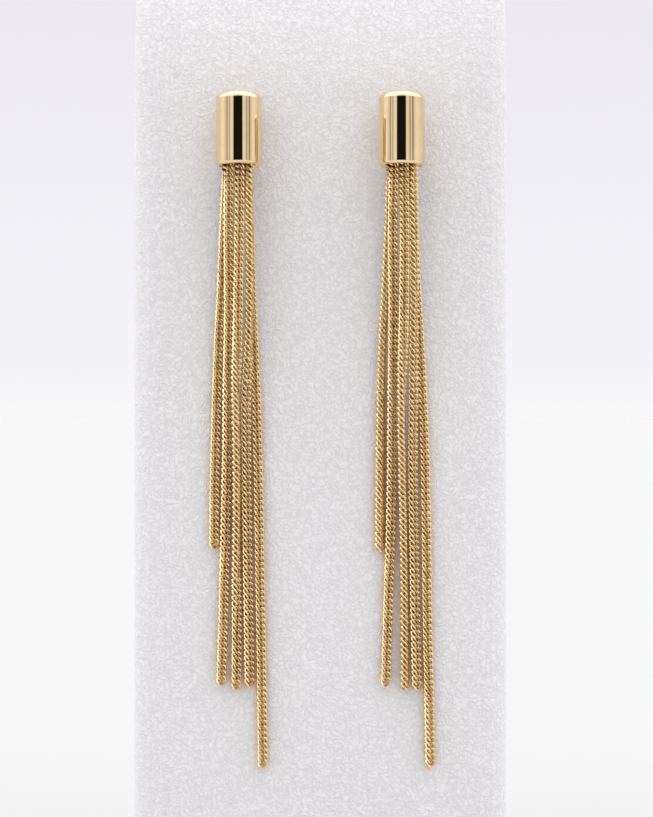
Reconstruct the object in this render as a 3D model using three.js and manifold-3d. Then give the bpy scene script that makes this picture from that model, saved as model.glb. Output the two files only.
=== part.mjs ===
// A pair of tassel drop earrings pinned on an upright flocked display stand.
//
// Millimetres, +Z up. The stand's front faces -Y, and the origin is the centre of the whole
// object's footprint. Each earring is a polished tube-shaped cap, closed at the top and open
// below, with a straight ear post soldered on its back and five fine curb chains of stepped
// length hanging out of it. The posts go into two blind holes in the stand.

import * as THREE from "three";
import { mergeVertices } from "three/addons/utils/BufferGeometryUtils.js";
import Module from "manifold-3d";

const wasm = await Module();
wasm.setup();

// ---- driving dimensions ---------------------------------------------------------------

const STAND = { width: 49.5, depth: 40, height: 147, arch: 35, archSteps: 28, edge: 3, edgeSteps: 4 };
const CAP = { radius: 3, height: 9.3, wall: 0.45, roof: 0.8, fillet: 0.8, lip: 0.35, sides: 64 };
const POST = { radius: 0.4, reach: 11, rise: 7.2, start: 2.78, sides: 24 };
const HOLE = { radius: 0.75, depth: 11.6 };
const CHAIN = { radius: 0.45, sides: 8, step: 2.6, top: 8.3 };

const GAP = 0.3;
const EAR_X = 10.5;
const RIM_Z = 103.5;
const FOOT_RUN = 10; // how far the stand's outline runs on below the floor before it is cut

// The cap stands out in front of the stand, so the stand's own centre lies behind the origin.
const OVERHANG = GAP + 2 * CAP.radius;
const STAND_Y = OVERHANG / 2;
const FACE_Y = STAND_Y - STAND.depth / 2;
const CAP_Y = FACE_Y - GAP - CAP.radius;

// How far in front of the stand's face each chain runs, by how far below the cap's rim it is.
// Chains 2, 3 and 4 leave the cap as a front row, 1 and 5 as a back row behind them.
// Lower down all five fan out into one layer that lies against the stand.
const CLEARANCE = [
  // below rim, chains 1 to 5
  [-8.3, 2.6, 4.0, 4.1, 3.9, 2.55],
  [0, 2.6, 4.0, 4.1, 3.9, 2.55],
  [8, 2.2, 3.6, 4.0, 3.6, 2.2],
  [17, 1.7, 3.0, 3.9, 3.1, 1.7],
  [22.5, 1.25, 2.6, 3.65, 2.7, 1.25],
  [30, 0.85, 1.7, 2.8, 1.8, 0.85],
  [35.5, 0.77, 1.25, 2.1, 1.35, 0.77],
  [41.5, 0.76, 0.9, 1.55, 0.95, 0.76],
  [50, 0.76, 0.77, 1.0, 0.78, 0.76],
  [59, 0.76, 0.76, 0.8, 0.76, 0.76],
  [68, 0.76, 0.76, 0.76, 0.76, 0.76],
  [78.5, 0.76, 0.76, 0.76, 0.76, 0.76],
];

// How far each chain runs to the side of its own cap's axis.
const LEFT = {
  x: -EAR_X,
  lengths: [49.7, 67.6, 68.1, 67.9, 78.5],
  sideways: [
    [-8.3, -1.5, -1.22, 0.1, 1.35, 1.2],
    [0, -1.6, -1.26, 0.1, 1.35, 1.2],
    [8, -2.0, -1.36, 0.05, 1.4, 1.35],
    [17, -2.4, -1.32, -0.1, 1.35, 1.55],
    [22.5, -2.75, -1.4, -0.2, 1.2, 1.8],
    [30, -3.05, -1.6, -0.45, 0.8, 2.1],
    [35.5, -3.2, -1.65, -0.4, 0.8, 2.25],
    [41.5, -3.35, -1.8, -0.4, 0.85, 2.4],
    [50, -3.4, -2.0, -0.45, 0.95, 2.55],
    [59, -3.4, -2.2, -0.45, 1.1, 2.7],
    [68, -3.4, -2.5, -0.5, 1.25, 2.85],
    [78.5, -3.4, -2.5, -0.5, 1.25, 3.0],
  ],
};

const RIGHT = {
  x: EAR_X,
  lengths: [50.2, 67.8, 68.4, 68.3, 78.5],
  sideways: [
    [-8.3, -1.3, -1.05, 0.25, 1.45, 1.35],
    [0, -1.4, -1.05, 0.25, 1.45, 1.4],
    [8, -1.65, -1.15, 0.35, 1.6, 1.7],
    [17, -2.05, -1.05, 0.3, 1.65, 2.05],
    [22.5, -2.35, -1.05, 0.2, 1.6, 2.45],
    [30, -2.55, -1.1, 0.05, 1.6, 2.85],
    [35.5, -2.65, -1.15, 0.05, 1.55, 3.1],
    [41.5, -2.7, -1.2, 0.2, 1.6, 3.25],
    [50, -2.75, -1.4, 0.4, 1.75, 3.4],
    [59, -2.75, -1.7, 0.5, 1.9, 3.5],
    [68, -2.75, -1.95, 0.55, 2.15, 3.7],
    [78.5, -2.75, -1.95, 0.55, 2.15, 3.9],
  ],
};

// ---- helpers --------------------------------------------------------------------------

function toManifold(geometry) {
  const bare = geometry.clone();
  bare.deleteAttribute("normal");
  bare.deleteAttribute("uv");
  const merged = mergeVertices(bare, 1e-4);
  const vertProperties = new Float32Array(merged.attributes.position.array);
  const triVerts = new Uint32Array(merged.index.array);
  return new wasm.Manifold(new wasm.Mesh({ numProp: 3, vertProperties, triVerts }));
}

function toGeometry(solid) {
  const mesh = solid.getMesh();
  const geometry = new THREE.BufferGeometry();
  geometry.setAttribute("position", new THREE.BufferAttribute(mesh.vertProperties, 3));
  geometry.setIndex(new THREE.BufferAttribute(mesh.triVerts, 1));
  geometry.computeVertexNormals();
  return geometry;
}

// A round bar along +Y from y0 to y1.
function barAlongY(radius, x, y0, y1, z, sides) {
  const bar = new THREE.CylinderGeometry(radius, radius, y1 - y0, sides);
  bar.translate(x, (y0 + y1) / 2, z);
  return bar;
}

// ---- the stand ------------------------------------------------------------------------

// Side view of the stand, drawn with depth across and height up, with a half-ellipse for its
// top. It runs on below the floor so that the cut at the base leaves square, flat edges.
function standProfile() {
  const half = STAND.depth / 2;
  const archZ = STAND.height - STAND.arch;
  const shape = new THREE.Shape();
  shape.moveTo(-half, -FOOT_RUN);
  shape.lineTo(half, -FOOT_RUN);
  shape.lineTo(half, archZ);
  for (let i = 1; i < STAND.archSteps; i++) {
    const a = (Math.PI * i) / STAND.archSteps;
    shape.lineTo(half * Math.cos(a), archZ + STAND.arch * Math.sin(a));
  }
  shape.lineTo(-half, archZ);
  shape.closePath();
  return shape;
}

function displayStand() {
  const body = new THREE.ExtrudeGeometry(standProfile(), {
    depth: STAND.width - 2 * STAND.edge,
    steps: 1,
    bevelEnabled: true,
    bevelThickness: STAND.edge,
    bevelSize: STAND.edge,
    bevelOffset: -STAND.edge,
    bevelSegments: STAND.edgeSteps,
  });
  body.translate(0, 0, STAND.edge - STAND.width / 2);
  body.rotateY(Math.PI / 2);
  body.rotateX(Math.PI / 2);
  body.translate(0, STAND_Y, 0);
  const below = new THREE.BoxGeometry(2 * STAND.width, 2 * STAND.depth, 2 * FOOT_RUN);
  below.translate(0, STAND_Y, -FOOT_RUN);
  let solid = toManifold(body).subtract(toManifold(below));
  for (const x of [-EAR_X, EAR_X]) {
    const z = RIM_Z + POST.rise;
    const hole = barAlongY(HOLE.radius, x, FACE_Y - 1, FACE_Y + HOLE.depth, z, POST.sides);
    solid = solid.subtract(toManifold(hole));
  }
  return toGeometry(solid);
}

// ---- one earring's cap, with its post -------------------------------------------------

// Points of a quarter circle about (r, z), from one angle to another in degrees.
function quarter(r, z, radius, from, to, steps) {
  const points = [];
  for (let i = 0; i <= steps; i++) {
    const a = ((from + ((to - from) * i) / steps) * Math.PI) / 180;
    points.push(new THREE.Vector2(r + radius * Math.cos(a), z + radius * Math.sin(a)));
  }
  return points;
}

// The cap's wall and roof, as a profile turned about the axis with the rim at zero height. It
// runs out along the ceiling, down the bore, round the rim, up the outside and over the top.
function capShell() {
  const outer = CAP.radius;
  const inner = outer - CAP.wall;
  const ceiling = CAP.height - CAP.roof;
  const { fillet, lip } = CAP;
  const profile = [
    new THREE.Vector2(0, ceiling),
    new THREE.Vector2(inner, ceiling),
    new THREE.Vector2(inner, 0.05),
    new THREE.Vector2(inner + 0.05, 0),
    ...quarter(outer - lip, lip, lip, -90, 0, 3),
    ...quarter(outer - fillet, CAP.height - fillet, fillet, 0, 90, 5),
    new THREE.Vector2(0, CAP.height),
  ];
  const shell = new THREE.LatheGeometry(profile, CAP.sides);
  shell.rotateX(Math.PI / 2);
  return shell;
}

function capWithPost(x) {
  const shell = capShell();
  shell.translate(x, CAP_Y, RIM_Z);
  const z = RIM_Z + POST.rise;
  const post = barAlongY(POST.radius, x, CAP_Y + POST.start, FACE_Y + POST.reach, z, POST.sides);
  return toGeometry(toManifold(shell).add(toManifold(post)));
}

// ---- chains ---------------------------------------------------------------------------

// Value of one column of a table at a given distance below the rim.
function lookUp(table, column, below) {
  let i = 1;
  while (i < table.length - 1 && table[i][0] < below) i++;
  const [a, b] = [table[i - 1], table[i]];
  const t = (below - a[0]) / (b[0] - a[0]);
  return a[column] + (b[column] - a[column]) * t;
}

function chainRoute(ear, chain) {
  const length = ear.lengths[chain - 1];
  const stops = CLEARANCE.map((row) => row[0]).filter((below) => below < length - 3);
  stops.push(length);
  const points = stops.map((below) => {
    const x = ear.x + lookUp(ear.sideways, chain, below);
    const y = FACE_Y - lookUp(CLEARANCE, chain, below);
    return new THREE.Vector3(x, y, RIM_Z - below);
  });
  return new THREE.CatmullRomCurve3(points);
}

// One round chain of links, drawn as a single eight-sided tube along its route.
function chainTube(ear, chain) {
  const ring = new THREE.Shape();
  for (let i = 0; i < CHAIN.sides; i++) {
    const a = (2 * Math.PI * (i + 0.5)) / CHAIN.sides;
    const [x, y] = [CHAIN.radius * Math.cos(a), CHAIN.radius * Math.sin(a)];
    if (i === 0) ring.moveTo(x, y);
    else ring.lineTo(x, y);
  }
  ring.closePath();
  const length = ear.lengths[chain - 1] + CHAIN.top;
  const steps = Math.round(length / CHAIN.step);
  return new THREE.ExtrudeGeometry(ring, { steps, extrudePath: chainRoute(ear, chain) });
}

// ---- assembly -------------------------------------------------------------------------

const gold = new THREE.MeshStandardMaterial({ color: 0xd8b27a, metalness: 1, roughness: 0.2 });
const chainGold = new THREE.MeshStandardMaterial({ color: 0xc9a468, metalness: 1, roughness: 0.3 });
const flock = new THREE.MeshStandardMaterial({ color: 0xdddbde, metalness: 0, roughness: 1 });

function named(name, geometry, material) {
  const mesh = new THREE.Mesh(geometry, material);
  mesh.name = name;
  return mesh;
}

const part = new THREE.Group();
part.name = "tassel_earrings_on_stand";
part.add(named("display_stand", displayStand(), flock));
for (const [side, ear] of [["left", LEFT], ["right", RIGHT]]) {
  part.add(named(`${side}_cap_and_post`, capWithPost(ear.x), gold));
  for (let chain = 1; chain <= 5; chain++) {
    part.add(named(`${side}_chain_${chain}`, chainTube(ear, chain), chainGold));
  }
}

export default part;
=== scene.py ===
# %% [markdown]
# # Tassel drop earrings on a flocked stand
# A pair of gold-tone earrings, each a polished tube-shaped cap with five fine curb chains of
# stepped length, pinned side by side on a tall flocked display stand. The sizes and places come
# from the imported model, which is the fixed frame: every piece here goes where the frame says.

# %% Load the frame
import math

import bmesh
import bpy
import numpy as np
from mathutils import Matrix, Vector, noise


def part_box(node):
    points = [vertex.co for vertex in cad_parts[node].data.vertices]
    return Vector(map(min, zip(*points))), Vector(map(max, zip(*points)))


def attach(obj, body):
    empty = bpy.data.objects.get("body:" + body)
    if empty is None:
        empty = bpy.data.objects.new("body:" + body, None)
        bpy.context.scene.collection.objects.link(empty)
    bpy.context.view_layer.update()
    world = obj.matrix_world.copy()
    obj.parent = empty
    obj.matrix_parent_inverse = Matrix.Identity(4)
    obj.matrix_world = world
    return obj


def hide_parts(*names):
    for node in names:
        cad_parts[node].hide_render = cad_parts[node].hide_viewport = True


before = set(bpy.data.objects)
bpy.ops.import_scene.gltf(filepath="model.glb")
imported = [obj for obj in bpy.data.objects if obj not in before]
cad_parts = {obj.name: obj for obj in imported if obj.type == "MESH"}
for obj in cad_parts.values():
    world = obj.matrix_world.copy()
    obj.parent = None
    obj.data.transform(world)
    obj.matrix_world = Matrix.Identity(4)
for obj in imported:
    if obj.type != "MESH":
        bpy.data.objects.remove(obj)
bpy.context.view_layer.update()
MM = 0.001
# Two places closer than this count as the same.
NEAR = 0.01 * MM
SIDES = ("left", "right")
dice = np.random.default_rng(7)
stand_low, stand_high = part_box("display_stand")

# %% [markdown]
# ## Camera
# The object is seen straight from the front, from a little over 20 cm away, by a camera that
# is lower than the caps, so their rims arch. Its place is given from the left cap: the cap's box
# starts at the rim, and the cap's radius is half the box's width.

# %% Camera
cap_low, cap_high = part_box("left_cap_and_post")
cap_radius = (cap_high.x - cap_low.x) / 2
cap_axis_y = cap_low.y + cap_radius
CAMERA_DISTANCE = 215 * MM
CAMERA_BELOW_RIM = 31.35 * MM
CAMERA_ASIDE = 0.8 * MM
SENSOR_HEIGHT = 24
LENS = 48.85

camera_data = bpy.data.cameras.new("camera")
camera_data.sensor_fit = "VERTICAL"
camera_data.sensor_height = SENSOR_HEIGHT
camera_data.lens = LENS
camera_data.clip_start = 5 * MM
camera = bpy.data.objects.new("camera", camera_data)
camera.location = (CAMERA_ASIDE, cap_axis_y - CAMERA_DISTANCE, cap_low.z - CAMERA_BELOW_RIM)
camera.rotation_euler = (math.radians(90), 0, 0)
bpy.context.scene.collection.objects.link(camera)
bpy.context.scene.camera = camera
bpy.context.scene.view_settings.view_transform = "Standard"
print("camera at", [round(c / MM, 1) for c in camera.location], "mm")

# %% [markdown]
# ## Small tools for materials
# Every finish here is one Principled shader fed by noise read in Object coordinates, so a
# pattern keeps its real size in metres. A few helpers make that short: one starts a material, one
# adds a noise whose grain is given as a length, and the others join values and colours.

# %% Material helpers
def start_material(name):
    """A material with a Principled shader, its node tree and the Object coordinates."""
    material = bpy.data.materials.new(name)
    material.use_nodes = True
    tree = material.node_tree
    shader = tree.nodes["Principled BSDF"]
    coordinates = tree.nodes.new("ShaderNodeTexCoord").outputs["Object"]
    return material, tree, shader, coordinates


def grain(tree, coordinates, size, detail=2.0, stretch=(1, 1, 1)):
    """Noise with lumps of about the given size, stretched along the axes."""
    mapping = tree.nodes.new("ShaderNodeMapping")
    mapping.inputs["Scale"].default_value = stretch
    tree.links.new(coordinates, mapping.inputs["Vector"])
    lumps = tree.nodes.new("ShaderNodeTexNoise")
    lumps.inputs["Scale"].default_value = 1 / size
    lumps.inputs["Detail"].default_value = detail
    tree.links.new(mapping.outputs["Vector"], lumps.inputs["Vector"])
    return lumps.outputs["Fac"]


def spread(tree, value, low, high, start=0.3, end=0.7):
    """Stretches a value, by default the middle of a noise, to run from low to high."""
    span = tree.nodes.new("ShaderNodeMapRange")
    span.inputs["From Min"].default_value = start
    span.inputs["From Max"].default_value = end
    span.inputs["To Min"].default_value = low
    span.inputs["To Max"].default_value = high
    tree.links.new(value, span.inputs["Value"])
    return span.outputs["Result"]


def calculate(tree, operation, *values):
    """A Math node fed by sockets or plain numbers."""
    node = tree.nodes.new("ShaderNodeMath")
    node.operation = operation
    for socket, value in zip(node.inputs, values):
        if isinstance(value, (int, float)):
            socket.default_value = value
        else:
            tree.links.new(value, socket)
    return node.outputs["Value"]


def mix_colours(tree, factor, first, second, blend="MIX"):
    """The first colour changed to or by the second, each a socket or three numbers."""
    mix = tree.nodes.new("ShaderNodeMix")
    mix.data_type = "RGBA"
    mix.blend_type = blend
    tree.links.new(factor, mix.inputs["Factor"])
    for name, colour in (("A", first), ("B", second)):
        if isinstance(colour, tuple):
            mix.inputs[name].default_value = (*colour, 1)
        else:
            tree.links.new(colour, mix.inputs[name])
    return mix.outputs["Result"]


def add_bump(tree, shader, height, distance, below=None):
    """Bump of a given depth, on top of another bump if there is one."""
    bump = tree.nodes.new("ShaderNodeBump")
    bump.inputs["Distance"].default_value = distance
    tree.links.new(height, bump.inputs["Height"])
    if below:
        tree.links.new(below, bump.inputs["Normal"])
    tree.links.new(bump.outputs["Normal"], shader.inputs["Normal"])
    return bump.outputs["Normal"]


print("material helpers ready")

# %% [markdown]
# ## The flock finish
# Flock is a coat of very short cut fibres stood on glue. From a hand's length away it reads as a
# matt, faintly mottled white, soft at the edges. Colour alone would look like plaster, so the
# finish has soft blotches, curling gaps that also go into the bump, and some sheen, and real short
# fibres are added further on. The gaps are darker in colour, which is painted shade between the
# fibres. An attribute made after the chains warms the flock near them with a painted tint for the
# light the gold throws back.

# %% Flock materials
FLOCK_LIGHT = (0.868, 0.853, 0.868)
FLOCK_DARK = (0.700, 0.682, 0.700)
FIBRE_LIGHT = (0.900, 0.892, 0.905)
FIBRE_DARK = (0.700, 0.685, 0.705)
# The colour the flock near the chains is multiplied by: painted bounce light from the gold.
GOLD_LIGHT = (1.14, 0.75, 0.50)
PATCH_SIZE = 1.6 * MM
# Each kind of curl, whose lines are painted shade between fibres: its size, the width of its lines
# in the noise, and how light they stay.
FINE_CURLS = (0.62 * MM, 0.10, 0.45)
COARSE_CURLS = (1.1 * MM, 0.08, 0.58)


def curls(tree, coordinates, size, width, lightness):
    """Thin curling lines of painted shade between fibres, where a noise of the given size crosses
    its middle value.
    """
    lumps = grain(tree, coordinates, size, detail=1)
    away = calculate(tree, "ABSOLUTE", calculate(tree, "SUBTRACT", lumps, 0.5))
    line = tree.nodes.new("ShaderNodeMapRange")
    line.interpolation_type = "SMOOTHSTEP"
    line.inputs["From Max"].default_value = width
    tree.links.new(away, line.inputs["Value"])
    return spread(tree, line.outputs["Result"], lightness, 1.0, 0, 1)


def flock_material(name, light, dark, bump_depth):
    """Matt white pile, mottled in patches, with fine curling gaps of painted shade between its
    fibres and painted gold bounce light near the chains.
    """
    material, tree, shader, coordinates = start_material(name)
    patches = grain(tree, coordinates, PATCH_SIZE, detail=4)
    fine = curls(tree, coordinates, *FINE_CURLS)
    coarse = curls(tree, coordinates, *COARSE_CURLS)
    # The curling gaps darken the colour: painted shade between the fibres. The patches are tone
    # that differs at random.
    gaps = calculate(tree, "MULTIPLY", fine, coarse)
    pile = calculate(tree, "MULTIPLY", gaps, spread(tree, patches, 0.88, 1.0))
    closeness = tree.nodes.new("ShaderNodeAttribute")
    closeness.attribute_name = "gold_closeness"
    white = mix_colours(tree, pile, dark, light)
    # Multiplied by a warm colour near the chains: painted bounce light from the gold.
    warmed = mix_colours(tree, closeness.outputs["Fac"], white, GOLD_LIGHT, "MULTIPLY")
    tree.links.new(warmed, shader.inputs["Base Color"])
    tree.links.new(spread(tree, patches, 0.9, 1.0), shader.inputs["Roughness"])
    shader.inputs["Specular IOR Level"].default_value = 0.15
    shader.inputs["Sheen Weight"].default_value = 0.25
    shader.inputs["Sheen Roughness"].default_value = 0.6
    soft = add_bump(tree, shader, patches, bump_depth)
    add_bump(tree, shader, pile, bump_depth, below=soft)
    return material


flock = flock_material("stand_flock", FLOCK_LIGHT, FLOCK_DARK, bump_depth=0.08 * MM)
fibre = flock_material("stand_fibre", FIBRE_LIGHT, FIBRE_DARK, bump_depth=0.01 * MM)
print("made", flock.name, "and", fibre.name)

# %% [markdown]
# ## The gold finishes
# Cap and chain are plated alike. The cap is polished like a mirror and shows the studio as upright
# bands, broken only by faint wiping marks. The chain is made of drawn wire, so it is a little less
# smooth, and it looks darker because its links mostly mirror each other. The parts of the chain
# that lie deepest get a rougher finish and a darker, browner gold; that darker colour is painted
# shade for the little light that reaches between the links.

# %% Gold materials
CAP_BRIGHT = (0.930, 0.722, 0.452)
CAP_DEEP = (0.880, 0.655, 0.385)
CHAIN_BRIGHT = (0.975, 0.785, 0.475)
CHAIN_DEEP = (0.910, 0.705, 0.395)
# The inner links' darker, browner gold is painted shade deep in the chain.
INNER_SHADED_BRIGHT = (0.740, 0.510, 0.250)
INNER_SHADED_DEEP = (0.580, 0.385, 0.170)


def gold_material(name, bright, deep, smooth, rough, grain_size, wave_depth):
    """Plated gold, mirror-like, with a roughness that wanders between two values."""
    material, tree, shader, coordinates = start_material(name)
    shader.inputs["Metallic"].default_value = 1.0
    tone = grain(tree, coordinates, 4 * grain_size, detail=2)
    marks = grain(tree, coordinates, grain_size, detail=4, stretch=(1, 1, 0.25))
    colour = mix_colours(tree, spread(tree, tone, 0, 1), deep, bright)
    tree.links.new(colour, shader.inputs["Base Color"])
    tree.links.new(spread(tree, marks, smooth, rough), shader.inputs["Roughness"])
    add_bump(tree, shader, marks, wave_depth)
    return material


cap_gold = gold_material("cap_gold", CAP_BRIGHT, CAP_DEEP, smooth=0.02, rough=0.05,
                         grain_size=0.5 * MM, wave_depth=0.0004 * MM)
chain_gold = gold_material("chain_gold", CHAIN_BRIGHT, CHAIN_DEEP, smooth=0.05, rough=0.11,
                           grain_size=0.3 * MM, wave_depth=0.002 * MM)
# Rougher gold for the inner links, whose darker colour is painted shade between the links.
shaded_inner_gold = gold_material("shaded_inner_gold", INNER_SHADED_BRIGHT, INNER_SHADED_DEEP, smooth=0.15, rough=0.25,
                           grain_size=0.3 * MM, wave_depth=0.002 * MM)
print("made", cap_gold.name, chain_gold.name, "and", shaded_inner_gold.name)

# %% [markdown]
# ## From a mesh to a finished piece
# Each piece is finished the same way: it is shaded smooth unless it brings its own shading, gets a
# material, rides on the object's one body and hides the parts of the frame it stands for. Its
# triangles are counted and printed, so a piece that grew too heavy is seen at once. Fibres and
# links are one small mesh repeated, so a second helper joins many copies of it into one mesh.

# %% Finishing helpers
def place_mesh(name, mesh, material, slot_name, *nodes, smooth=True):
    """Links a finished mesh as a piece that rides on the body and replaces nodes."""
    if smooth:
        mesh.polygons.foreach_set("use_smooth", np.ones(len(mesh.polygons), bool))
    mesh.materials.append(material)
    piece = bpy.data.objects.new(name, mesh)
    bpy.context.scene.collection.objects.link(piece)
    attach(piece, "root")
    if nodes:
        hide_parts(*nodes)
    triangles = sum(len(face.vertices) - 2 for face in mesh.polygons)
    print(name, triangles, "triangles")
    return piece


def copies(name, template, places):
    """One joined mesh that holds a copy of the template at each 4 x 4 place."""
    corners = np.ones((len(template.vertices), 4))
    corners[:, :3] = [corner.co for corner in template.vertices]
    faces = np.array([face.vertices for face in template.polygons])
    smooth = [face.use_smooth for face in template.polygons]
    places = np.array(places)
    moved = np.einsum("nij,cj->nci", places, corners)[:, :, :3].reshape(-1, 3)
    starts = len(corners) * np.arange(len(places))
    joined = (faces[None] + starts[:, None, None]).reshape(-1, faces.shape[1])
    mesh = bpy.data.meshes.new(name)
    mesh.from_pydata(moved.tolist(), [], joined.tolist())
    mesh.polygons.foreach_set("use_smooth", np.tile(smooth, len(places)))
    return mesh


def round_edges(shape, edges, offset, segments):
    """Rounds edges of a bmesh with a bevel of an even, circular profile."""
    bmesh.ops.bevel(shape, geom=edges, offset=offset, segments=segments, profile=0.5,
                    affect="EDGES", material=-1, clamp_overlap=True)


print("finishing helpers ready")

# %% [markdown]
# ## The stand's core
# The stand is a tall block with rounded long edges and a top that curves back, like a pillow's
# end. A half circle spun from one corner and stretched into a half ellipse gives the side view.
# Its two ends are drawn down past the floor, the outline is filled and pushed across the stand's
# width, the two side outlines are bevelled, and what is below the floor is cut away, so the foot
# stays flat with square edges.

# %% Stand outline, extruded and bevelled
ARCH_HEIGHT = 35 * MM
EDGE_RADIUS = 3 * MM
FOOT_RUN = 10 * MM
ARCH_STEPS = 48
EDGE_STEPS = 6
half_depth = (stand_high.y - stand_low.y) / 2
stand_y = (stand_high.y + stand_low.y) / 2
arch_z = stand_high.z - ARCH_HEIGHT


def all_parts(shape):
    """Every corner, edge and face of a bmesh, as the cutting operators want them."""
    return [*shape.verts, *shape.edges, *shape.faces]


core = bmesh.new()
core.verts.new((stand_low.x, half_depth, 0))
bmesh.ops.spin(core, geom=core.verts[:], cent=(stand_low.x, 0, 0), axis=(1, 0, 0),
               angle=math.pi, steps=ARCH_STEPS, use_merge=False, use_duplicate=False)
bmesh.ops.scale(core, vec=(1, 1, ARCH_HEIGHT / half_depth), verts=core.verts)
bmesh.ops.translate(core, vec=(0, stand_y, arch_z), verts=core.verts)
arch_ends = [corner for corner in core.verts if corner.co.z < arch_z + NEAR]
soles = bmesh.ops.extrude_vert_indiv(core, verts=arch_ends)["verts"]
bmesh.ops.translate(core, vec=(0, 0, -arch_z - FOOT_RUN), verts=soles)
core.edges.new(soles)
side = bmesh.ops.contextual_create(core, geom=core.edges[:])["faces"]
pushed = bmesh.ops.extrude_face_region(core, geom=side, use_keep_orig=True)["geom"]
far_corners = [part for part in pushed if isinstance(part, bmesh.types.BMVert)]
bmesh.ops.translate(core, vec=(stand_high.x - stand_low.x, 0, 0), verts=far_corners)
bmesh.ops.recalc_face_normals(core, faces=core.faces)
rims = [edge for edge in core.edges if abs(edge.verts[0].co.x - edge.verts[1].co.x) < NEAR]
round_edges(core, rims, EDGE_RADIUS, EDGE_STEPS)
cut = bmesh.ops.bisect_plane(core, geom=all_parts(core), plane_co=(0, 0, 0),
                             plane_no=(0, 0, -1), clear_outer=True)["geom_cut"]
bmesh.ops.holes_fill(core, edges=[part for part in cut if isinstance(part, bmesh.types.BMEdge)])
bmesh.ops.recalc_face_normals(core, faces=core.faces)
open_edges = sum(len(edge.link_faces) != 2 for edge in core.edges)
print("stand core:", len(core.faces), "faces,", open_edges, "open edges")

# %% [markdown]
# ## The pile on the stand
# A smooth block would give flock a hard, plastic edge. The core is remeshed into small even
# squares, and each corner is moved in or out a little by noise at two sizes, as a coat of
# fibres is thicker in some places than in others. The foot stays flat, because it rests.

# %% Even squares and an uneven coat
SQUARE = 0.62 * MM
COAT_LUMPS = ((2.4 * MM, 0.035 * MM), (0.9 * MM, 0.045 * MM))


def applied(piece):
    """The mesh of an object with its modifiers made real, and the object gone."""
    shown = piece.evaluated_get(bpy.context.evaluated_depsgraph_get())
    mesh = bpy.data.meshes.new_from_object(shown)
    bpy.data.objects.remove(piece)
    return mesh


core_mesh = bpy.data.meshes.new("core")
core.to_mesh(core_mesh)
core.free()
core_object = bpy.data.objects.new("core", core_mesh)
bpy.context.scene.collection.objects.link(core_object)
remesh = core_object.modifiers.new("even_squares", "REMESH")
remesh.mode = "VOXEL"
remesh.voxel_size = SQUARE
coat = bmesh.new()
coat.from_mesh(applied(core_object))
coat.normal_update()
for corner in coat.verts:
    lift = sum(depth * noise.noise(corner.co / size) for size, depth in COAT_LUMPS)
    if corner.co.z > SQUARE:
        corner.co += corner.normal * lift
    else:
        corner.co.z = max(corner.co.z, 0)
print("stand coat:", len(coat.faces), "faces")

# %% [markdown]
# ## Holes for the posts
# Each earring's post is pushed into a blind hole in the stand. The holes are cut out with a
# Boolean, whose exact solver keeps the dense mesh closed. The cutter is a plain bar with many
# sides that starts in front of the face, so the mouth is clean.

# %% Cut the two blind holes
POST_RADIUS = 0.4 * MM
HOLE_RADIUS = 0.75 * MM
HOLE_DEPTH = 11.6 * MM
POST_ABOVE_RIM = 7.2 * MM
BAR_SIDES = 32
post_z = cap_low.z + POST_ABOVE_RIM
ear_x = {name: sum(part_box(f"{name}_cap_and_post")[i].x for i in (0, 1)) / 2 for name in SIDES}


def bar_along_y(radius, x, y_start, y_end, z):
    """A closed round bar that runs back from y_start to y_end."""
    bar = bmesh.new()
    bmesh.ops.create_cone(bar, cap_ends=True, segments=BAR_SIDES, radius1=radius, radius2=radius,
                          depth=y_end - y_start)
    bmesh.ops.rotate(bar, cent=(0, 0, 0), matrix=Matrix.Rotation(math.radians(90), 3, "X"),
                     verts=bar.verts)
    bmesh.ops.translate(bar, vec=(x, (y_start + y_end) / 2, z), verts=bar.verts)
    return bar


def boolean(mesh, other, operation):
    """One mesh with another joined on or cut away, by the exact solver."""
    base = bpy.data.objects.new("base", mesh)
    tool = bpy.data.objects.new("tool", other)
    for item in (base, tool):
        bpy.context.scene.collection.objects.link(item)
    change = base.modifiers.new("boolean", "BOOLEAN")
    change.operation = operation
    change.solver = "EXACT"
    change.object = tool
    result = applied(base)
    bpy.data.objects.remove(tool)
    return result


def to_mesh(shape, name):
    """A new mesh from a bmesh, which is then let go."""
    mesh = bpy.data.meshes.new(name)
    shape.to_mesh(mesh)
    shape.free()
    return mesh


stand_mesh = to_mesh(coat, "stand_flocking")
for x in ear_x.values():
    cutter = bar_along_y(HOLE_RADIUS, x, stand_low.y - MM, stand_low.y + HOLE_DEPTH, post_z)
    stand_mesh = boolean(stand_mesh, to_mesh(cutter, "cutter"), "DIFFERENCE")
stand = place_mesh("stand_flocking", stand_mesh, flock, "stand_flock", "display_stand")

# %% [markdown]
# ## Loose fibres
# The pile's own fibres are far too many to model, but the ones that lean out of it can be. They
# soften the stand's outline and give the face its fine scribbled grain. Each is a closed
# three-sided spike of four faces, made once and copied to places drawn over the stand's skin.

# %% Fibres over the coat
FIBRES = 22000
FIBRE_LENGTH = (0.45 * MM, 0.95 * MM)
FIBRE_RADIUS = (0.016 * MM, 0.026 * MM)
FIBRE_LEAN = (50, 86)
FIBRE_ROOT = 0.05 * MM


def fibre_template():
    """A spike of unit radius and unit height that stands on the origin."""
    spike = bmesh.new()
    bmesh.ops.create_cone(spike, cap_ends=True, cap_tris=True, segments=3, radius1=1,
                          radius2=0, depth=1)
    bmesh.ops.translate(spike, vec=(0, 0, 0.5), verts=spike.verts)
    bmesh.ops.remove_doubles(spike, verts=spike.verts, dist=1e-6)
    bmesh.ops.recalc_face_normals(spike, faces=spike.faces)
    bmesh.ops.triangulate(spike, faces=spike.faces)
    return to_mesh(spike, "fibre")


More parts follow.
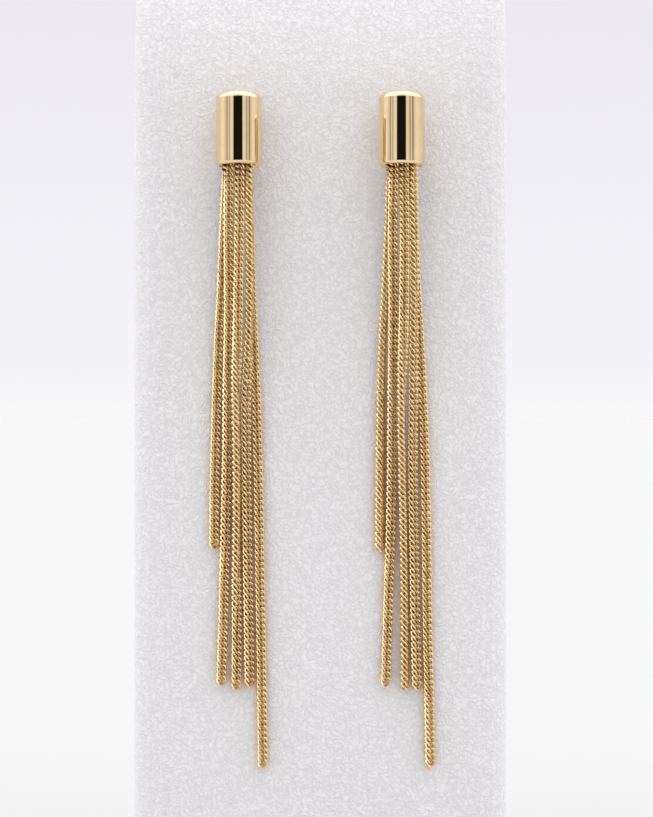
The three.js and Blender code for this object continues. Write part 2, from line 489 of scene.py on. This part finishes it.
def fibre_places(mesh, count):
    """Places drawn evenly over a mesh's skin, each leaning at random out of it."""
    areas = np.array([face.area for face in mesh.polygons])
    picked = dice.choice(len(areas), size=count, p=areas / areas.sum())
    places = []
    for index in picked:
        face = mesh.polygons[int(index)]
        corners = [mesh.vertices[i].co for i in face.vertices]
        shares = dice.dirichlet(np.ones(len(corners)))
        root = sum((c * s for c, s in zip(corners, shares)), Vector())
        lean = math.radians(dice.uniform(*FIBRE_LEAN))
        length, radius = dice.uniform(*FIBRE_LENGTH), dice.uniform(*FIBRE_RADIUS)
        turn = face.normal.to_track_quat("Z", "X").to_matrix().to_4x4()
        turn = turn @ Matrix.Rotation(dice.uniform(0, math.tau), 4, "Z")
        turn = turn @ Matrix.Rotation(lean, 4, "X")
        tip = root + turn.to_3x3() @ Vector((0, 0, length))
        # None under the foot, and none that would reach into the floor.
        if min(tip.z, root.z) < FIBRE_ROOT or face.normal.z < -0.5:
            continue
        size = Matrix.Diagonal((radius, radius, length, 1))
        places.append(Matrix.Translation(root - face.normal * FIBRE_ROOT) @ turn @ size)
    return places


spike = fibre_template()
fibre_pieces = []
for patch in (1, 2):
    name = f"stand_fibres_{patch}"
    fibres = copies(name, spike, fibre_places(stand_mesh, FIBRES))
    fibre_pieces.append(place_mesh(name, fibres, fibre, "stand_flock", smooth=False))

# %% [markdown]
# ## The caps
# The real cap is drawn or turned tube with a flat roof, a small rolled edge on top and a softer
# lip below. Its wall and roof are one outline spun about the axis. The round edges are bevelled
# after the spin, since bevel rounds a whole ring at once. The ear post is soldered on, so it is
# joined to the cap as one solid, with a rounded tip that slides easily into its hole.

# %% Caps with their posts
CAP_WALL = 0.45 * MM
CAP_ROOF = 0.8 * MM
CAP_FILLET = 0.8 * MM
CAP_LIP = 0.35 * MM
CAP_INNER_LIP = 0.05 * MM
CAP_STEPS = 128
# The post starts inside the cap's wall, this far behind the cap's axis.
POST_START = 2.78 * MM
POST_TIP = 0.25 * MM


def round_ring(shape, radius, z, offset, segments):
    """Rounds the ring of edges at one radius and height."""
    ring = [e for e in shape.edges
            if all(abs(v.co.z - z) < NEAR and abs(v.co.xy.length - radius) < NEAR for v in e.verts)]
    round_edges(shape, ring, offset, segments)


def cap_shell(height):
    """The cap about the Z axis, with its rim at zero height."""
    shell = bmesh.new()
    inner = cap_radius - CAP_WALL
    ceiling = height - CAP_ROOF
    outline = ((0, ceiling), (inner, ceiling), (inner, 0), (cap_radius, 0), (cap_radius, height),
               (0, height))
    points = [shell.verts.new((r, 0, z)) for r, z in outline]
    for start, end in zip(points, points[1:]):
        shell.edges.new((start, end))
    bmesh.ops.spin(shell, geom=all_parts(shell), cent=(0, 0, 0), axis=(0, 0, 1),
                   angle=math.tau, steps=CAP_STEPS, use_merge=True, use_duplicate=False)
    bmesh.ops.remove_doubles(shell, verts=shell.verts, dist=0.001 * MM)
    bmesh.ops.recalc_face_normals(shell, faces=shell.faces)
    round_ring(shell, cap_radius, height, CAP_FILLET, segments=12)
    round_ring(shell, cap_radius, 0, CAP_LIP, segments=6)
    round_ring(shell, inner, 0, CAP_INNER_LIP, segments=2)
    return shell


def cap_with_post(name):
    """One earring's cap and post, where the frame has them."""
    node = f"{name}_cap_and_post"
    low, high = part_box(node)
    x = ear_x[name]
    shell = cap_shell(high.z - low.z)
    bmesh.ops.translate(shell, vec=(x, cap_axis_y, low.z), verts=shell.verts)
    post = bar_along_y(POST_RADIUS, x, cap_axis_y + POST_START, high.y, post_z)
    tip = [e for e in post.edges if all(v.co.y > high.y - NEAR for v in e.verts)]
    round_edges(post, tip, POST_TIP, segments=4)
    mesh = boolean(to_mesh(shell, node), to_mesh(post, "post"), "UNION")
    return place_mesh(f"{name}_cap", mesh, cap_gold, "cap_gold", node)


for name in SIDES:
    cap = cap_with_post(name)
    cap.data.set_sharp_from_angle(angle=math.radians(40))

# %% [markdown]
# ## One curb link
# Curb chain is made from oval wire links that are each twisted, so that they lie flat in one
# another, and then pressed. One link is a small circle spun into a ring and stretched into a
# squarish oval. Its two ends flare, since they have to pass round their neighbours, and turn
# about the chain's length. Last, it is pressed into the chain's nearly square section. The
# template has a few dozen faces, because there are about a thousand links.

# %% Link template
PITCH = 0.737 * MM
WIRE = 0.32 * MM
LINK_WIDTH = 1.38 * MM
LINK_THICKNESS = 1.15 * MM
LINK_TWIST = math.radians(-46)
TWIST_POWER = 0.7
LINK_FLARE = 0.35
SQUARENESS = 3.5
PRESS = 4


def curb_link(wire_sides, ring_steps):
    """A link whose chain runs along Z and whose flat faces look along Y."""
    link = bmesh.new()
    half_width = (LINK_WIDTH - WIRE) / 2
    half_length = (PITCH + WIRE) / 2
    bmesh.ops.create_circle(link, cap_ends=False, segments=wire_sides, radius=WIRE / 2)
    bmesh.ops.rotate(link, cent=(0, 0, 0), verts=link.verts,
                     matrix=Matrix.Rotation(math.pi / wire_sides, 3, "Z"))
    bmesh.ops.translate(link, vec=(half_width, 0, 0), verts=link.verts)
    bmesh.ops.rotate(link, cent=(0, 0, 0), verts=link.verts,
                     matrix=Matrix.Rotation(math.pi / ring_steps, 3, "Y"))
    bmesh.ops.spin(link, geom=all_parts(link), cent=(0, 0, 0), axis=(0, 1, 0),
                   angle=math.tau, steps=ring_steps, use_merge=True, use_duplicate=False)
    aspect = LINK_WIDTH / LINK_THICKNESS
    for corner in link.verts:
        x, y, z = corner.co
        c, s = math.cos(math.atan2(z, x)), math.sin(math.atan2(z, x))
        out = math.hypot(x, z) - half_width
        reach = (abs(c) ** SQUARENESS + abs(s) ** SQUARENESS) ** (-1 / SQUARENESS)
        centre = Vector((half_width * c * reach, 0, half_length * s * reach))
        away = Vector((math.copysign(abs(c * reach) ** (SQUARENESS - 1), c) / half_width, 0,
                       math.copysign(abs(s * reach) ** (SQUARENESS - 1), s) / half_length))
        place = centre + away.normalized() * out + Vector((0, y, 0))
        place.x *= 1 + LINK_FLARE * (place.z / half_length) ** 2
        share = place.z / half_length
        turn = LINK_TWIST * math.copysign(abs(share) ** TWIST_POWER, share)
        place.rotate(Matrix.Rotation(turn, 3, "Z"))
        c, s = (abs(side) / place.xy.length for side in place.xy)
        limit = LINK_WIDTH / 2 * (c ** PRESS + (s * aspect) ** PRESS) ** (-1 / PRESS)
        press = min(1, limit / place.xy.length)
        corner.co = place.x * press, place.y * press, place.z
    bmesh.ops.recalc_face_normals(link, faces=link.faces)
    for face in link.faces:
        face.smooth = True
    return to_mesh(link, "link")


link = curb_link(wire_sides=6, ring_steps=12)
inner_link = curb_link(wire_sides=5, ring_steps=10)
print("one link:", len(link.polygons), "faces, one inner link:", len(inner_link.polygons))

# %% [markdown]
# ## The chains
# A chain of links follows the centre line of its tube in the frame, one link each pitch. Which way
# its flat faces look changes slowly on the way down, because a hanging curb chain turns freely:
# face-on it shows dense slanting strokes, part-turned it shows rows of holes, and edge-on a narrow
# plait. The tables give that turn in degrees, by how far below the cap's rim it is in millimetres.
# Real links lock so closely that no gap shows through, so a smaller, rougher link is set crosswise
# between each two, in a darker gold that is painted shade deep in the chain.

# %% Chains of links
TUBE_SIDES = 8
TURNS = {
    "left_chain_1": ((0, 10), (50, 6)),
    "left_chain_2": ((0, 8), (24, 10), (29, 38), (49, 40), (53, 10), (68, 6)),
    "left_chain_3": ((0, 10), (21, 12), (31, 82), (46, 86), (54, 60), (60, 20), (68, 12)),
    "left_chain_4": ((0, 82), (22, 80), (30, 40), (68, 38)),
    "left_chain_5": ((0, 12), (36, 6), (79, 2)),
    "right_chain_1": ((0, 76), (24, 68), (50, 62)),
    "right_chain_2": ((0, 8), (24, 10), (30, 38), (50, 40), (54, 8), (68, 6)),
    "right_chain_3": ((0, 10), (21, 12), (31, 84), (60, 88), (68, 80)),
    "right_chain_4": ((0, 40), (14, 60), (22, 64), (30, 40), (68, 38)),
    "right_chain_5": ((0, 12), (36, 6), (66, 4), (71, 34), (79, 40)),
}
# How unevenly the links lie: the spread of their turn and of their lean, in degrees.
SHAKE_TURN = 4.0
SHAKE_LEAN = 2.0
# An inner link's width and thickness against a whole link's.
INNER_SIZE = (0.75, 0.80)


def centre_line(node):
    """Points down the middle of a chain's tube, one for each ring of its corners."""
    corners = {tuple(round(c, 7) for c in v.co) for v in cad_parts[node].data.vertices}
    downwards = sorted(corners, key=lambda corner: -corner[2])
    rings = np.array(downwards).reshape(-1, TUBE_SIDES, 3)
    return rings.mean(axis=1)


def link_places(line, turns):
    """One place each pitch along a line, from its lower end up."""
    steps = np.linalg.norm(np.diff(line, axis=0), axis=1)
    along = np.concatenate(([0], np.cumsum(steps)))
    last = along[-1] - (PITCH + 2 * WIRE) / 2
    places = []
    for i in range(int(last / PITCH) - 1):
        spot, ahead = (
            Vector([np.interp(last - i * PITCH + step, along, line[:, axis]) for axis in range(3)])
            for step in (0, PITCH)
        )
        below = (cap_low.z - spot.z) / MM
        turn = np.interp(below, *zip(*turns)) + dice.normal(0, SHAKE_TURN)
        up = (spot - ahead).normalized()
        lean = Vector((0, 0, 1)).rotation_difference(up)
        place = Matrix.Translation(spot) @ lean.to_matrix().to_4x4()
        place @= Matrix.Rotation(math.radians(turn), 4, "Z")
        place @= Matrix.Rotation(math.radians(dice.normal(0, SHAKE_LEAN)), 4, "X")
        places.append(place)
    return places


def crossed(place):
    """Half a pitch up, turned by a quarter and smaller: where an inner link goes."""
    turned = place @ Matrix.Translation((0, 0, PITCH / 2))
    turned @= Matrix.Rotation(math.radians(90), 4, "Z")
    return turned @ Matrix.Diagonal((*INNER_SIZE, 1, 1))


for node, turns in TURNS.items():
    places = link_places(centre_line(node), turns)
    mesh = copies(f"{node}_links", link, places)
    place_mesh(f"{node}_links", mesh, chain_gold, "chain_gold", node, smooth=False)
    # The inner links get the darker gold: painted shade deep in the chain.
    inner = copies(f"{node}_inner", inner_link, [crossed(place) for place in places])
    place_mesh(f"{node}_inner", inner, shaded_inner_gold, "chain_gold", smooth=False)
    print(node, len(places), "links")

# %% [markdown]
# ## Gold light on the flock
# Where the chains lie against the stand, the flock between them is lit mostly by light that the
# gold throws back, which makes it a warm brown. Renderers lose most of that light, so it is laid
# on as a tint. An attribute on the flock says how close it is to the chains that lie on it, and
# the flock's material reads it.

# %% How close the chains are
# A chain counts in full up to the first distance from its middle, and not past the second.
TINT_ASIDE = (0.5 * MM, 1.2 * MM)
TINT_AHEAD = (0.9 * MM, 2.0 * MM)
TINT_START = 0.35


def add_closeness(mesh):
    """Adds an attribute, highest between chains lying on the flock and 0 away from them."""
    corners = np.array([corner.co for corner in mesh.vertices])
    total = np.zeros(len(corners))
    for node in TURNS:
        line = centre_line(node)[::-1]
        middle = np.interp(corners[:, 2], line[:, 2], line[:, 0])
        ahead = np.interp(corners[:, 2], line[:, 2], stand_low.y - line[:, 1])
        near = np.interp(abs(corners[:, 0] - middle), TINT_ASIDE, (1, 0))
        near *= np.interp(ahead, TINT_AHEAD, (1, 0))
        near[(corners[:, 2] < line[0, 2]) | (corners[:, 1] > stand_low.y + MM)] = 0
        total += near
    layer = mesh.attributes.new("gold_closeness", "FLOAT", "POINT")
    layer.data.foreach_set("value", np.clip(total - TINT_START, 0, 1))
    return int((total > TINT_START).sum())


for piece in (stand, *fibre_pieces):
    print(piece.name, add_closeness(piece.data), "corners tinted")

# %% [markdown]
# ## The floor
# The stand rests on a plain pale floor, wide enough to run to the horizon. It is one square with
# a very faint cloudiness, so that it doesn't look like empty space.

# %% Floor
FLOOR_REACH = 15.0
FLOOR_COLOUR = (0.555, 0.555, 0.56)
CLOUD_SIZE = 60 * MM
CLOUD_SHADE = 0.985
floor_shape = bmesh.new()
bmesh.ops.create_grid(floor_shape, x_segments=1, y_segments=1, size=FLOOR_REACH)
floor_mesh = to_mesh(floor_shape, "floor")
floor_material, tree, shader, coordinates = start_material("floor")
cloudy = grain(tree, coordinates, CLOUD_SIZE)
shaded = tuple(CLOUD_SHADE * c for c in FLOOR_COLOUR)
tree.links.new(mix_colours(tree, cloudy, shaded, FLOOR_COLOUR), shader.inputs["Base Color"])
shader.inputs["Roughness"].default_value = 0.9
shader.inputs["Specular IOR Level"].default_value = 0.1
floor_mesh.materials.append(floor_material)
floor = bpy.data.objects.new("floor", floor_mesh)
bpy.context.scene.collection.objects.link(floor)
print("floor reaches", FLOOR_REACH, "m each way")

# %% [markdown]
# ## The studio light
# Gold shows what is around it, so the studio matters as much as the metal: white walls with a
# dark gap where the camera stands, thin dark joints between the panels, brighter panels at the
# sides and a strong soft light overhead that is brighter towards the left and right. All that is
# painted on the world by direction. The camera itself sees only a plain pale backdrop.

# %% Brightness by direction
# A ramp's colours stop at 1, so they are divided by this gain and multiplied by it afterwards.
GAIN = 4.0
# Brightness by direction round the object in degrees: 0 is the camera, plus is to the right.
WALLS = (
    (-180, 0.72), (-150, 0.74), (-126, 0.80), (-107, 0.78), (-93, 0.95), (-84, 1.05),
    (-72, 0.82), (-63, 0.64), (-60, 0.33), (-58, 0.38), (-54, 0.76), (-50, 0.84), (-47, 0.42),
    (-45, 0.46), (-41, 0.86), (-36, 0.95), (-27, 0.88), (-24.5, 0.01), (18.5, 0.01),
    (21, 0.84), (28, 0.89), (35, 0.80), (39, 0.34), (42, 0.44), (46, 0.80), (51, 0.58),
    (54, 0.26), (58, 0.38), (63, 0.74), (78, 0.95), (113, 0.78), (180, 0.72),
)
# Brightness of the sky by height in degrees above the horizon.
SKY = ((-90, 0.7), (0, 0.85), (20, 1.0), (40, 1.25), (60, 2.3), (90, 4.0))
# How much of the sky's brightness stays in the middle, and how much comes in at the sides.
SKY_MIDDLE = 0.66
SKY_SIDES = 0.95
# How far up and down the walls reach, as a share of the walls against the sky.
WALL_REACH = ((-26, 0.0), (-20, 1.0), (16, 1.0), (24, 0.0))
# What the camera sees, by height in degrees.
BACKDROP = (
    (-90, (0.93, 0.93, 0.95)), (0, (0.939, 0.939, 0.948)), (1.3, (0.912, 0.902, 0.944)),
    (4, (0.890, 0.880, 0.925)), (14, (0.838, 0.822, 0.871)), (90, (0.80, 0.79, 0.84)),
)

print("walls have", len(WALLS), "stops and the sky", len(SKY))

# %% Ramps and brightness
def ramp(tree, position, stops, full_turn, gain=1.0):
    """Colour by angle, where the ramp's ends are plus and minus half the full turn."""
    node = tree.nodes.new("ShaderNodeValToRGB")
    elements = node.color_ramp.elements
    while len(elements) < len(stops):
        elements.new(0.5)
    for element, (angle, level) in zip(elements, stops):
        element.position = 0.5 + angle / full_turn
        colour = level if isinstance(level, tuple) else (level,) * 3
        element.color = (*(c / gain for c in colour), 1)
    tree.links.new(position, node.inputs["Fac"])
    return node.outputs["Color"]


def brighten(tree, colour, factor):
    """A colour multiplied by a socket or a plain number."""
    node = tree.nodes.new("ShaderNodeVectorMath")
    node.operation = "SCALE"
    tree.links.new(colour, node.inputs[0])
    if isinstance(factor, float):
        node.inputs["Scale"].default_value = factor
    else:
        tree.links.new(factor, node.inputs["Scale"])
    return node.outputs["Vector"]


print("ramp helpers ready")

# %% Studio painted on the world
world = bpy.data.worlds.new("studio")
world.use_nodes = True
bpy.context.scene.world = world
tree = world.node_tree
background = tree.nodes["Background"]
direction = tree.nodes.new("ShaderNodeTexCoord").outputs["Generated"]
split = tree.nodes.new("ShaderNodeSeparateXYZ")
tree.links.new(direction, split.inputs["Vector"])
toward_camera = calculate(tree, "MULTIPLY", split.outputs["Y"], -1.0)
azimuth = calculate(tree, "ARCTAN2", split.outputs["X"], toward_camera)
height = calculate(tree, "ARCSINE", split.outputs["Z"])
round_about = calculate(tree, "MULTIPLY_ADD", azimuth, 1 / math.tau, 0.5)
up_down = calculate(tree, "MULTIPLY_ADD", height, 1 / math.pi, 0.5)
sideways = calculate(tree, "ABSOLUTE", split.outputs["X"])
share = calculate(tree, "MULTIPLY_ADD", sideways, SKY_SIDES, SKY_MIDDLE)
walls = ramp(tree, round_about, WALLS, 360, GAIN)
sky = brighten(tree, ramp(tree, up_down, SKY, 180, GAIN), share)
studio = mix_colours(tree, ramp(tree, up_down, WALL_REACH, 180), sky, walls)
backdrop = ramp(tree, up_down, BACKDROP, 180)
camera_ray = tree.nodes.new("ShaderNodeLightPath").outputs["Is Camera Ray"]
seen = mix_colours(tree, camera_ray, brighten(tree, studio, GAIN), backdrop)
tree.links.new(seen, background.inputs["Color"])
print("studio painted with", len(tree.nodes), "nodes")
